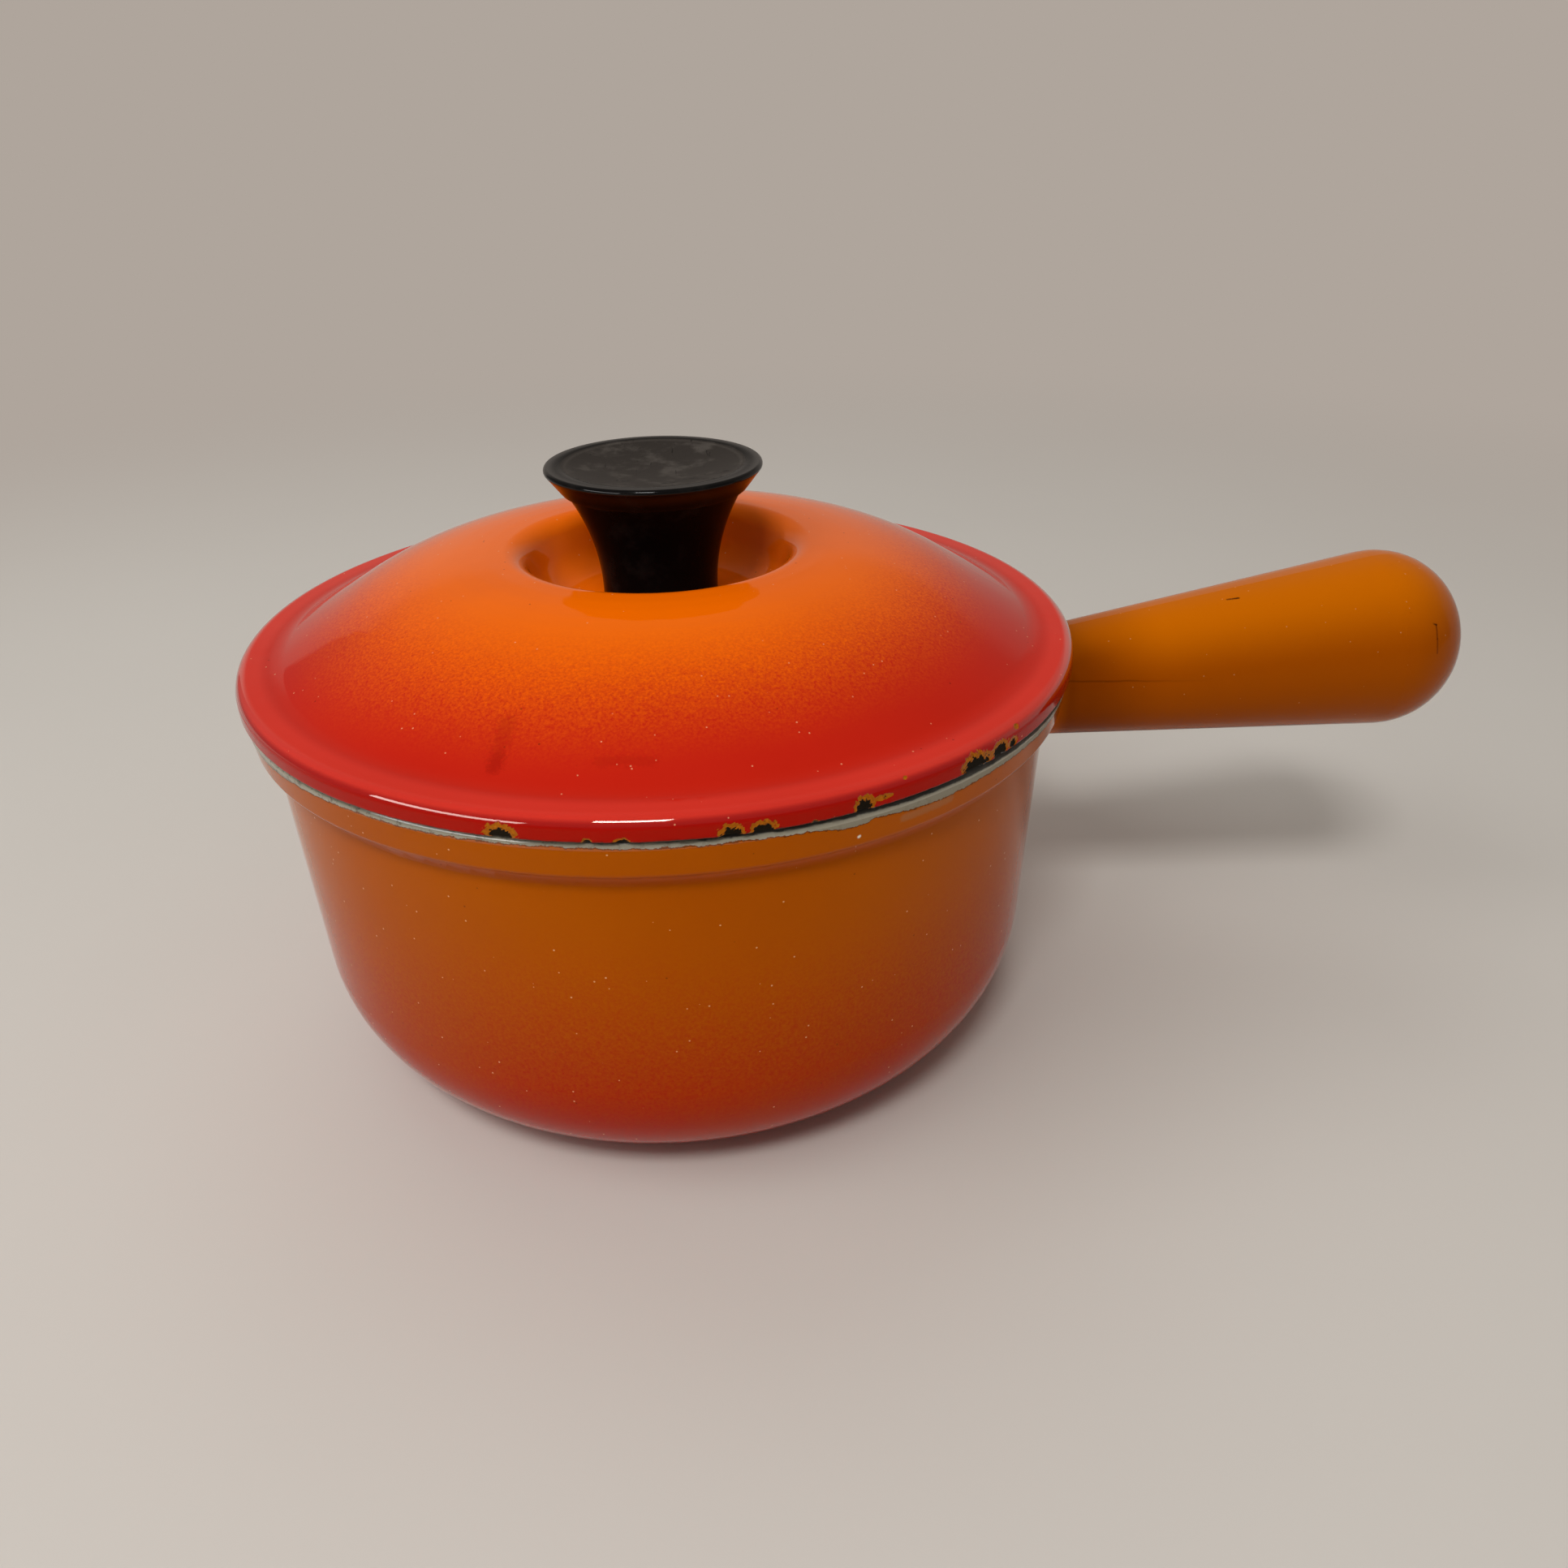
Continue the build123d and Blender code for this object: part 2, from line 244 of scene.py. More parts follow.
coatEdge = {
    # the coloured coat's top edge round the pan: azimuth in degrees, height in mm
    "stops": [
        (-180, 93.3), (-160, 92.6), (-150, 92.6), (-145.7, 92.9), (-141, 93.4), (-137, 93.7), (-133.5, 94.0),
        (-129, 94.15), (-125, 94.2), (-120.7, 94.05), (-114.4, 94.3), (-108.7, 94.5), (-101.5, 94.5), (-93, 94.25),
        (-84, 94.2), (-76, 93.85), (-70.6, 92.5), (-69.1, 92.0), (-68.9, 92.6), (-68.2, 93.5), (-66.5, 93.1),
        (-63, 92.5), (-58, 92.1), (-49.6, 92.6), (-37, 92.6), (0, 93.1), (50, 93.7), (95, 93.3),
        (140, 93.9), (180, 93.3)],
    "range": (91.0, 96.0), "ragged": [(420.0, 0.65, 1.1 * mm), (1500.0, 0.7, 0.8 * mm)],   # scale, roughness, size
    "soft": 0.06 * mm, "lineDrop": 0.1 * mm, "line": (0.22 * mm, 0.05 * mm), "onPan": (95.6 * mm, 95.2 * mm),
    # spots of dirt, more of them away from the handle
    "dirtScale": 620.0, "dirt": (0.52, 0.64), "dirtSide": (30 * mm, -70 * mm, 0.12, 0.7),
}


def makeCoatEdge(look):
    # Bare is 1 above the edge, where the grey ground coat shows; Line runs along the edge; Dirt lies in spots
    group, t, given, gives = newGroup("coatTopEdge", {"Position": None}, ["Bare", "Line", "Dirt"])
    where = given["Position"]
    x, y, z = t.add("SeparateXYZ", Vector=where).outputs
    turn = t.timesPlus(t.sum("ARCTAN2", y, x), 1 / fullTurn, 0.5)
    ramp = t.add("ValToRGB", Fac=turn)
    low, high = look["range"]
    stops = ramp.color_ramp.elements
    for number, (azimuth, height) in enumerate(look["stops"]):
        place, share = azimuth / 360 + 0.5, (height - low) / (high - low)
        stop = stops[number] if number < 2 else stops.new(place)   # a new ramp has two stops
        stop.position, stop.color = place, (share, share, share, 1)
    edge = t.timesPlus(ramp.outputs[0], (high - low) * mm, low * mm)
    ragged = t.plus(*[t.times(t.ripple(where, scale, 3.0, rough), size) for scale, rough, size in look["ragged"]])
    over = t.minus(z, t.plus(edge, ragged))
    onPan = t.step(t.distance(x, y), *look["onPan"])   # the handle rises past this height
    t.feed(t.times(t.step(over, -look["soft"], look["soft"]), onPan), gives["Bare"])
    line = t.step(t.sum("ABSOLUTE", t.plus(over, look["lineDrop"])), *look["line"])
    t.feed(t.times(line, onPan), gives["Line"])
    spots = t.step(t.noise(where, look["dirtScale"], 4.0, 0.7), *look["dirt"])
    t.feed(t.times(spots, t.step(x, *look["dirtSide"])), gives["Dirt"])
    return group


glaze = makeGlaze(glazeLook)
spray = makeSpray(sprayLook)
rub = makeRub(rubLook)
stroke = makeStroke(strokeLook)
topEdge = makeCoatEdge(coatEdge)
print("shared effects ready")


def sprayedFade(t, where, along, look):
    return t.use(spray, Position=where, Along=along, Near=look["fadeFrom"], Far=look["fadeTo"], Drift=look["drift"],
                 Grain=look["grain"], Droplet=look["droplet"])["Fade"]


# a weak, warm shine keeps the enamel's colour deep at a glancing angle
def warmGloss(shader, look):
    shader.inputs["IOR"].default_value = look["ior"]
    shader.inputs["Specular IOR Level"].default_value = 1.0
    shader.inputs["Specular Tint"].default_value = look["tint"]


lidFinish = {
    "orange": paint(252, 110, 0), "red": paint(203, 34, 18), "lipReflection": paint(224, 49, 34), "lipSideShade": paint(176, 15, 10),
    "cloud": paint(168, 22, 12), "paleSpeck": paint(250, 176, 130), "darkSpeck": paint(96, 16, 6),
    "amber": paint(208, 122, 20), "amberDark": paint(140, 68, 8), "iron": paint(6, 6, 5), "ironPale": paint(26, 24, 21),
    "fadeFrom": 46 * mm, "fadeTo": 83.5 * mm, "lean": 0.05, "grain": 1.5, "droplet": 1700.0, "drift": 10 * mm,
    # radii at which the lip's painted reflection, its side's painted shade, and the glaze pooled on it begin or end
    "lipReflectionFrom": (87.5 * mm, 90.5 * mm), "sideShadeFrom": (93.9 * mm, 94.7 * mm),
    "poolFrom": (92.2 * mm, 93.4 * mm), "poolTo": (94.93 * mm, 94.8 * mm), "poolRoughness": 0.03,
    # painted shade in the gap under the lip, and where it starts
    "gapShade": paint(26, 22, 19), "gapShadeFrom": (0.5, -0.25),
    "roughness": 0.05, "amberRoughness": 0.12, "ironRoughness": 0.55,
    "ior": 1.17, "tint": (1.0, 0.6, 0.18, 1.0), "bump": (0.2, 0.3 * mm),
    # smears: start, end, width, strength
    "smear": paint(158, 16, 8), "smearRagged": 3.2,
    "smears": [((-0.0317, -0.0755, 0.1031), (-0.0297, -0.0681, 0.1075), 2.6 * mm, 0.26),
               ((-0.0322, -0.0768, 0.1024), (-0.0312, -0.0743, 0.1037), 1.7 * mm, 0.34),
               ((-0.0130, -0.0793, 0.1040), (-0.0035, -0.0802, 0.1040), 1.6 * mm, 0.2)],
}


def makeLidEnamel(look):
    material, t, shader, where = newMaterial("lidEnamel")
    x, y = t.add("SeparateXYZ", Vector=where).outputs[:2]
    radius = t.distance(x, y)
    leaning = t.timesPlus(x, look["lean"], radius)   # the red reaches further in on the handle's side
    fade = sprayedFade(t, where, leaning, look)
    coat = t.use(glaze, Position=where, Peel=1.0, Specks=0.8)
    colour = t.mix(fade, look["orange"], look["red"])
    # the lip's top a paler, pinker red: a painted reflection of the pale wall
    colour = t.mix(t.step(radius, *look["lipReflectionFrom"], 0.0, 0.8), colour, look["lipReflection"])
    # the lip's side face a deeper red: painted shade
    colour = t.mix(t.step(radius, *look["sideShadeFrom"]), colour, look["lipSideShade"])
    colour = t.mix(t.step(coat["Cloud"], 0.35, 0.75, 0.0, 0.12), colour, look["cloud"])
    colour = t.mix(t.times(coat["Pale"], 0.75), colour, look["paleSpeck"])
    colour = t.mix(t.times(coat["Dark"], 0.7), colour, look["darkSpeck"])
    for start, end, width, strength in look["smears"]:
        smear = t.use(stroke, Position=where, From=start, To=end, Width=width, Ragged=look["smearRagged"])["Mark"]
        colour = t.mix(t.times(smear, strength), colour, look["smear"])
    # painted shade in the gap under the lip; through the chips show the amber coat and the iron
    fray = t.ripple(where, 2600.0, 3.0, 0.6)
    under = t.step(t.plus(t.attribute("lipLine"), t.times(fray, 0.3)), *look["gapShadeFrom"])
    colour = t.mix(under, colour, look["gapShade"])
    amber = t.step(t.plus(t.attribute("amber"), t.times(fray, 0.08)), 0.02, 0.07)
    colour = t.mix(amber, colour, t.mix(t.noise(where, 1800.0), look["amber"], look["amberDark"]))
    core = t.step(t.plus(t.attribute("iron"), t.times(fray, 0.5)), 0.03, 0.12)
    core = t.times(core, t.step(t.attribute("iron"), 0.0, 0.03))
    pits = t.step(t.cells(where, 1500.0)["Distance"], 0.3, 0.2)
    bare = t.sum("MAXIMUM", core, t.times(pits, t.step(t.attribute("amber"), 0.2, 0.45)))
    colour = t.mix(bare, colour, t.mix(t.noise(where, 3000.0, 3.0), look["iron"], look["ironPale"]))
    t.feed(colour, shader.inputs["Base Color"])
    roughness = t.timesPlus(amber, look["amberRoughness"], look["roughness"])
    t.feed(t.timesPlus(bare, look["ironRoughness"], roughness), shader.inputs["Roughness"])
    warmGloss(shader, look)
    # glassier where the glaze has pooled on the lip
    pooled = t.times(t.step(radius, *look["poolFrom"]), t.step(radius, *look["poolTo"]))
    t.feed(t.times(pooled, t.minus(1.0, amber)), shader.inputs["Coat Weight"])
    shader.inputs["Coat Roughness"].default_value = look["poolRoughness"]
    t.bump(shader, t.minus(coat["Height"], t.times(bare, t.noise(where, 2200.0, 3.0))), *look["bump"])
    return material


panFinish = {
    "amber": paint(188, 90, 0), "red": paint(175, 33, 13), "deep": paint(174, 75, 0),
    "paleSpeck": paint(250, 206, 150), "darkSpeck": paint(70, 26, 6),
    "fadeFrom": 80 * mm, "fadeTo": 10 * mm, "grain": 1.3, "droplet": 1500.0, "drift": 10 * mm,
    "ledge": (84.2 * mm, 88.3 * mm), "ledgeShade": 0.25,
    "rim": paint(152, 146, 128), "edge": paint(74, 40, 12), "dirt": paint(66, 52, 38), "coatStep": 0.35,
    # the handle's sides and root: painted shade, and a painted shadow of the lid at the root
    "handleTop": paint(206, 106, 0), "handleSideShade": paint(164, 76, 0), "handleRootShadow": paint(133, 57, 0),
    # the handle's axis and its half depth: rise along X, value at X = 0
    "handleAxis": (0.0831, 70.49 * mm), "handleHalf": (0.102, 3.9 * mm), "rootShadowFrom": (122 * mm, 100 * mm, 0.0, 0.85),
    "seam": paint(52, 18, 2), "seamHeight": 83.6 * mm, "seamWaver": 0.8 * mm, "seamWidth": (0.3 * mm, 0.1 * mm),
    "seamFrom": (94 * mm, 96 * mm), "seamTo": (134 * mm, 104 * mm), "seamShare": 0.35,
    "roughness": 0.045, "rimRoughness": 0.12, "ior": 1.13, "tint": (1.0, 0.5, 0.09, 1.0), "bump": (0.2, 0.3 * mm),
    # start, end, width, strength and colour of a scratch on the handle's top, three drip lines by its end,
    # a flake and a bright speck below the rim, and two nicks
    "marks": [((0.1364, -0.0046, 0.0994), (0.1390, -0.0050, 0.0997), 0.5 * mm, 0.9, paint(58, 20, 2)),
              ((0.1825, -0.0187, 0.0956), (0.1828, -0.0200, 0.0925), 0.35 * mm, 0.7, paint(96, 38, 2)),
              ((0.1828, -0.0200, 0.0925), (0.1831, -0.0208, 0.0892), 0.35 * mm, 0.6, paint(96, 38, 2)),
              ((0.1806, -0.0192, 0.0966), (0.1826, -0.0187, 0.0956), 0.4 * mm, 0.9, paint(58, 20, 2)),
              ((0.0418, -0.0841, 0.0910), (0.0518, -0.0783, 0.0912), 1.3 * mm, 0.55, paint(176, 118, 74)),
              ((0.0328, -0.0878, 0.0899), (0.0329, -0.0878, 0.0900), 0.5 * mm, 1.0, paint(250, 236, 214)),
              ((0.0767, -0.0408, 0.0255), (0.0764, -0.0406, 0.0238), 0.6 * mm, 0.9, paint(60, 26, 10)),
              ((-0.0838, -0.0305, 0.0628), (-0.0837, -0.0305, 0.0612), 0.6 * mm, 0.9, paint(60, 26, 10))],
}


def makePanEnamel(look):
    material, t, shader, where = newMaterial("panEnamel")
    along, across, height = t.add("SeparateXYZ", Vector=where).outputs
    radius = t.distance(along, across)
    onHandle = t.times(t.step(radius, 94 * mm, 98 * mm), t.step(along, 0.0, 80 * mm))
    fade = sprayedFade(t, where, height, look)
    coat = t.use(glaze, Position=where, Peel=1.0, Specks=t.step(onHandle, 0.0, 1.0, 0.9, 0.25))
    colour = t.mix(fade, look["amber"], look["red"])
    colour = t.mix(t.step(coat["Cloud"], 0.4, 0.75, 0.0, 0.3), colour, look["deep"])
    # painted shade: the ledge's step turned a deeper red
    low, high = look["ledge"]
    under = t.times(t.step(height, low - 1.2 * mm, low + 0.6 * mm), t.step(height, high, high - 0.9 * mm))
    under = t.times(under, t.minus(1.0, onHandle))
    colour = t.mix(t.times(under, look["ledgeShade"]), colour, look["red"])
    # painted shade: the handle is palest along its top and darker down its sides, with a painted shadow of the lid
    # deepest at its root
    lift = t.minus(height, t.timesPlus(along, *look["handleAxis"]))
    share = t.sum("DIVIDE", lift, t.timesPlus(along, *look["handleHalf"]))
    handle = t.mix(t.step(share, 0.2, 1.0), look["handleSideShade"], look["handleTop"])
    root = t.times(t.step(along, *look["rootShadowFrom"]), t.step(share, 0.6, 1.0, 1.0, 0.6))
    handle = t.mix(root, handle, look["handleRootShadow"])
    colour = t.mix(onHandle, colour, handle)
    # pale specks: pinholes in the glaze and small painted glints
    colour = t.mix(t.times(coat["Pale"], 0.8), colour, look["paleSpeck"])
    colour = t.mix(t.times(coat["Dark"], 0.6), colour, look["darkSpeck"])
    # mould seam along the handle, and the marks
    waver = t.timesPlus(t.noise(where, 120.0), look["seamWaver"], look["seamHeight"] - look["seamWaver"] / 2)
    seam = t.step(t.sum("ABSOLUTE", t.minus(height, waver)), *look["seamWidth"])
    seam = t.times(seam, t.times(t.step(along, *look["seamFrom"]), t.step(along, *look["seamTo"])))
    colour = t.mix(t.times(seam, look["seamShare"]), colour, look["seam"])
    for start, end, width, strength, tone in look["marks"]:
        mark = t.use(stroke, Position=where, From=start, To=end, Width=width, Ragged=1.0)["Mark"]
        colour = t.mix(t.times(mark, strength), colour, tone)
    # ragged top edge over the grey ground coat
    edge = t.use(topEdge, Position=where)
    colour = t.mix(edge["Bare"], colour, t.mix(edge["Dirt"], look["rim"], look["dirt"]))
    colour = t.mix(t.times(edge["Line"], 0.7), colour, look["edge"])
    t.feed(colour, shader.inputs["Base Color"])
    t.feed(t.timesPlus(edge["Bare"], look["rimRoughness"], look["roughness"]), shader.inputs["Roughness"])
    warmGloss(shader, look)
    t.bump(shader, t.timesPlus(edge["Bare"], -look["coatStep"], coat["Height"]), *look["bump"])
    return material


creamFinish = {
    "cream": paint(214, 206, 186), "stain": paint(176, 150, 112), "stainShare": 0.35, "darkSpeck": paint(60, 52, 44),
    "roughness": (0.14, 0.32), "bump": (0.25, 0.4 * mm),
}


def stainedCream(t, where, look):
    coat = t.use(glaze, Position=where, Peel=0.8, Specks=0.6)
    rubbed = t.use(rub, Position=where, Patch=45.0, Scratch=700.0)["Rubbed"]
    return coat, rubbed, t.mix(t.times(rubbed, look["stainShare"]), look["cream"], look["stain"])


def makeCreamEnamel(look):
    material, t, shader, where = newMaterial("creamEnamel")
    coat, rubbed, colour = stainedCream(t, where, look)
    colour = t.mix(t.times(coat["Dark"], 0.8), colour, look["darkSpeck"])
    t.feed(colour, shader.inputs["Base Color"])
    t.feed(t.step(rubbed, 0.0, 1.0, *look["roughness"]), shader.inputs["Roughness"])
    t.bump(shader, coat["Height"], *look["bump"])
    return material


liningFinish = {
    "cream": creamFinish["cream"], "stain": creamFinish["stain"], "stainShare": 0.35, "darkSpeck": paint(60, 52, 44),
    "rim": panFinish["rim"], "amber": panFinish["amber"], "edge": panFinish["edge"], "dirt": panFinish["dirt"],
    "rimRadius": (88 * mm, 91 * mm), "rimHeight": (92 * mm, 95 * mm),
    "lapRadius": (94.0 * mm, 94.15 * mm), "coatStep": 0.35,
    # painted shade where the lid sits over the rim: height, lower towards the handle, waver, soft edge and radius
    "gapShade": paint(22, 19, 16), "gapShadeFrom": 95.0 * mm, "gapShadeLean": -0.013, "gapShadeWaver": 0.7 * mm,
    "gapShadeSoft": (-0.12 * mm, 0.25 * mm), "gapShadeRadius": (90.5 * mm, 92.5 * mm), "gapShadeRoughness": 0.4,
    "roughness": (0.12, 0.26), "bump": (0.25, 0.3 * mm),
}


def makePanLining(look):
    # cream inside, greyer and duller over the rim, with the outside coat lapping up to its ragged edge
    material, t, shader, where = newMaterial("panLining")
    x, y, height = t.add("SeparateXYZ", Vector=where).outputs
    radius = t.distance(x, y)
    coat, rubbed, colour = stainedCream(t, where, look)
    onRim = t.times(t.step(radius, *look["rimRadius"]), t.step(height, *look["rimHeight"]))
    edge = t.use(topEdge, Position=where)
    colour = t.mix(onRim, colour, t.mix(edge["Dirt"], look["rim"], look["dirt"]))
    # painted shade on the rim under the lid's lip, reaching lower towards the handle
    waver = look["gapShadeWaver"]
    uneven = t.timesPlus(t.noise(where, 350.0, 3.0, 0.6), waver, look["gapShadeFrom"] - waver / 2)
    uneven = t.timesPlus(x, look["gapShadeLean"], uneven)
    gapShade = t.times(t.step(t.minus(height, uneven), *look["gapShadeSoft"]), t.step(radius, *look["gapShadeRadius"]))
    colour = t.mix(t.times(gapShade, 0.9), colour, look["gapShade"])
    colour = t.mix(t.times(coat["Dark"], 0.8), colour, look["darkSpeck"])
    outside = t.step(radius, *look["lapRadius"])
    lapped = t.times(outside, t.minus(1.0, edge["Bare"]))
    colour = t.mix(lapped, colour, look["amber"])
    colour = t.mix(t.times(t.times(edge["Line"], outside), 0.7), colour, look["edge"])
    t.feed(colour, shader.inputs["Base Color"])
    roughness = t.step(rubbed, 0.0, 1.0, *look["roughness"])
    t.feed(t.timesPlus(gapShade, look["gapShadeRoughness"], roughness), shader.inputs["Roughness"])
    t.bump(shader, t.timesPlus(lapped, look["coatStep"], coat["Height"]), *look["bump"])
    return material


ironFinish = {"iron": paint(52, 50, 48), "rust": paint(112, 66, 38), "sand": paint(88, 86, 82), "rings": 900.0,
              "ringHeight": 0.15, "metallic": 0.6, "roughness": (0.42, 0.7), "bump": (0.35, 0.2 * mm)}


def makeIron(look):
    # bare casting: sandy skin, ground base with turning rings
    material, t, shader, where = newMaterial("bareIron")
    x, y = t.add("SeparateXYZ", Vector=where).outputs[:2]
    rings = t.sum("SINE", t.times(t.distance(x, y), look["rings"] * fullTurn))
    rubbed = t.use(rub, Position=where, Patch=90.0, Scratch=800.0)["Rubbed"]
    sand = t.noise(where, 900.0, 4.0, 0.65)
    colour = t.mix(t.times(rubbed, 0.5), look["iron"], look["rust"])
    t.feed(t.mix(t.times(sand, 0.4), colour, look["sand"]), shader.inputs["Base Color"])
    shader.inputs["Metallic"].default_value = look["metallic"]
    t.feed(t.step(rubbed, 0.0, 1.0, *look["roughness"]), shader.inputs["Roughness"])
    t.bump(shader, t.plus(t.times(rings, look["ringHeight"]), sand), *look["bump"])
    return material


phenolicFinish = {
    "black": paint(8, 7, 7), "dish": paint(52, 47, 43), "wearAndHighlight": paint(92, 86, 80), "scratch": paint(12, 10, 9),
    "dishFloor": (133.7 * mm, 134.2 * mm), "dishRadius": 20.0 * mm, "dishEdge": 0.9 * mm, "dishShift": 0.8 * mm,
    "highlightRingInset": 0.4 * mm, "highlightRingWidth": 0.7 * mm, "fleckSide": (-3 * mm, -9 * mm), "shine": 0.03,
    "polishedRim": (21.5 * mm, 23.5 * mm, 0.0, 0.35), "polishRoughness": 0.06, "bump": (0.2, 0.15 * mm),
}


def makePhenolic(look):
    material, t, shader, where = newMaterial("blackPhenolic")
    x, y, z = t.add("SeparateXYZ", Vector=where).outputs
    marks = t.use(rub, Position=where, Patch=150.0, Scratch=900.0)
    behind = t.minus(y, look["dishShift"])
    radius = t.distance(x, behind)
    size = look["dishRadius"]
    inDish = t.times(t.step(z, *look["dishFloor"]), t.step(radius, size + look["dishEdge"], size))
    # the dish a worn, duller grey, partly a painted reflection of the pale wall
    colour = t.mix(inDish, look["black"], look["dish"])
    # worn in patches, with a painted highlight in a ring round the dish's inner edge, scratched, with dark flecks
    # towards the front
    wearAndHighlight = t.times(marks["Rubbed"], t.timesPlus(inDish, 0.85, 0.08))
    highlightRing = t.step(t.sum("ABSOLUTE", t.minus(radius, size - look["highlightRingInset"])), look["highlightRingWidth"], 0.0)
    wearAndHighlight = t.sum("MAXIMUM", wearAndHighlight, t.times(t.times(highlightRing, inDish), t.step(marks["Rubbed"], -0.6, 0.8)))
    colour = t.mix(t.times(wearAndHighlight, 0.6), colour, look["wearAndHighlight"])
    colour = t.mix(t.times(t.times(marks["Scratches"], inDish), 0.6), colour, look["scratch"])
    flecks = t.times(t.step(t.noise(where, 420.0, 4.0, 0.7), 0.56, 0.66), t.step(behind, *look["fleckSide"]))
    colour = t.mix(t.times(t.times(flecks, inDish), 0.8), colour, look["black"])
    t.feed(colour, shader.inputs["Base Color"])
    t.feed(t.timesPlus(wearAndHighlight, 0.15, t.timesPlus(inDish, 0.2, 0.2)), shader.inputs["Roughness"])
    shader.inputs["Specular IOR Level"].default_value = look["shine"]
    # polished by hands round the rim
    t.feed(t.step(t.distance(x, y), *look["polishedRim"]), shader.inputs["Coat Weight"])
    shader.inputs["Coat Roughness"].default_value = look["polishRoughness"]
    t.bump(shader, t.plus(marks["Height"], t.times(t.noise(where, 1800.0), 0.25)), *look["bump"])
    return material


brassFinish = {"name": "brassInsert", "bright": paint(214, 172, 92), "dull": paint(150, 112, 58),
               "roughness": (0.24, 0.44)}
steelFinish = {"name": "platedSteel", "bright": paint(186, 186, 184), "dull": paint(120, 118, 112),
               "roughness": (0.26, 0.46)}


def makeMetal(look):
    material, t, shader, where = newMaterial(look["name"])
    marks = t.use(rub, Position=where, Patch=300.0, Scratch=1500.0)
    t.feed(t.mix(t.times(marks["Rubbed"], 0.6), look["bright"], look["dull"]), shader.inputs["Base Color"])
    shader.inputs["Metallic"].default_value = 1.0
    t.feed(t.step(marks["Rubbed"], 0.0, 1.0, *look["roughness"]), shader.inputs["Roughness"])
    t.bump(shader, marks["Height"], 0.2, 0.1 * mm)
    return material


lidEnamel = makeLidEnamel(lidFinish)
panEnamel = makePanEnamel(panFinish)
creamEnamel = makeCreamEnamel(creamFinish)
panLiningEnamel = makePanLining(liningFinish)
bareIron = makeIron(ironFinish)
blackPhenolic = makePhenolic(phenolicFinish)
brass = makeMetal(brassFinish)
steel = makeMetal(steelFinish)
print("materials ready")


def newPiece(name, mesh):
    piece = bpy.data.objects.new(name, mesh)
    scene.collection.objects.link(piece)
    return piece


def smoothShade(mesh, sharpAngle=None):
    mesh.polygons.foreach_set("use_smooth", [True] * len(mesh.polygons))
    if sharpAngle:
        mesh.set_sharp_from_angle(angle=math.radians(sharpAngle))
    mesh.update()


# a turned outline: corners are (radius, height, rounding) in mm, outside on the right of travel
def roundedOutline(corners, spacing, arcStep):
    points = []
    spots = [np.array(c[:2], float) for c in corners]
    for i, corner in enumerate(corners):
        rounding = corner[2] if len(corner) > 2 else 0
        if not rounding or i in (0, len(corners) - 1):
            points.append(spots[i])
            continue
        back, ahead = spots[i - 1] - spots[i], spots[i + 1] - spots[i]
        back, ahead = back / np.linalg.norm(back), ahead / np.linalg.norm(ahead)
        half = math.acos(np.clip(back @ ahead, -1, 1)) / 2
        middle = spots[i] + (back + ahead) / np.linalg.norm(back + ahead) * rounding / math.sin(half)
        first = spots[i] + back * rounding / math.tan(half) - middle
        last = spots[i] + ahead * rounding / math.tan(half) - middle
        start = math.atan2(first[1], first[0])
        sweep = (math.atan2(last[1], last[0]) - start + math.pi) % fullTurn - math.pi
        count = max(2, math.ceil(abs(math.degrees(sweep)) / arcStep))
        for k in range(count + 1):
            a = start + sweep * k / count
            points.append(middle + rounding * np.array([math.cos(a), math.sin(a)]))
    outline, length = [points[0]], 0.0
    for point in points[1:]:
        origin = outline[-1]
        run = np.linalg.norm(point - origin)
        if run < 1e-6:
            continue
        pieces = max(1, math.ceil(run / spacing(length)))
        outline += [origin + (point - origin) * j / pieces for j in range(1, pieces + 1)]
        length += run
    return np.array(outline)


def outlineNormals(outline):
    along = np.gradient(outline, axis=0)
    along /= np.linalg.norm(along, axis=1)[:, None]
    return np.stack([along[:, 1], -along[:, 0]], axis=1)


def outlineLengths(outline):
    return np.concatenate([[0], np.cumsum(np.linalg.norm(np.diff(outline, axis=0), axis=1))])


def evenAngles(count):
    return np.linspace(0, fullTurn, count, endpoint=False)


# points of a turned grid in mm, one row for each height
def turnedSpots(radius, heights, angles):
    return np.stack([radius * np.cos(angles), radius * np.sin(angles), np.repeat(heights[:, None], len(angles), 1)], -1)


# spins a skin of that thickness round the Z axis; push moves its outside along the normals, in mm
def spinSkin(name, outline, angles, thickness, push=None, marks=None, everyInner=3):
    normals = outlineNormals(outline)
    shift = np.zeros((len(outline), len(angles))) if push is None else push
    radius = outline[:, :1] + normals[:, :1] * shift
    height = outline[:, 1:] + normals[:, 1:] * shift
    picked = sorted(set(range(0, len(outline), everyInner)) | {len(outline) - 1})
    inner = (outline - normals * thickness)[picked][::-1]
    radius = np.vstack([radius, np.repeat(inner[:, :1], len(angles), 1)])
    height = np.vstack([height, np.repeat(inner[:, 1:], len(angles), 1)])
    rows, columns = radius.shape
    spots = np.stack([radius * np.cos(angles), radius * np.sin(angles), height], axis=-1).reshape(-1, 3) * mm
    r, c = np.meshgrid(np.arange(rows), np.arange(columns), indexing="ij")
    r2, c2 = (r + 1) % rows, (c + 1) % columns
    corners = [r * columns + c, r * columns + c2, r2 * columns + c2, r2 * columns + c]
    mesh = bpy.data.meshes.new(name)
    mesh.from_pydata(spots.tolist(), [], np.stack(corners, axis=-1).reshape(-1, 4).tolist())
    for markName, values in (marks or {}).items():
        field = np.zeros((rows, columns))
        field[: len(outline)] = values
        mark = mesh.attributes.new(markName, "FLOAT", "POINT")
        mark.data.foreach_set("value", field.reshape(-1).astype(np.float32))
    smoothShade(mesh)
    return newPiece(name, mesh)


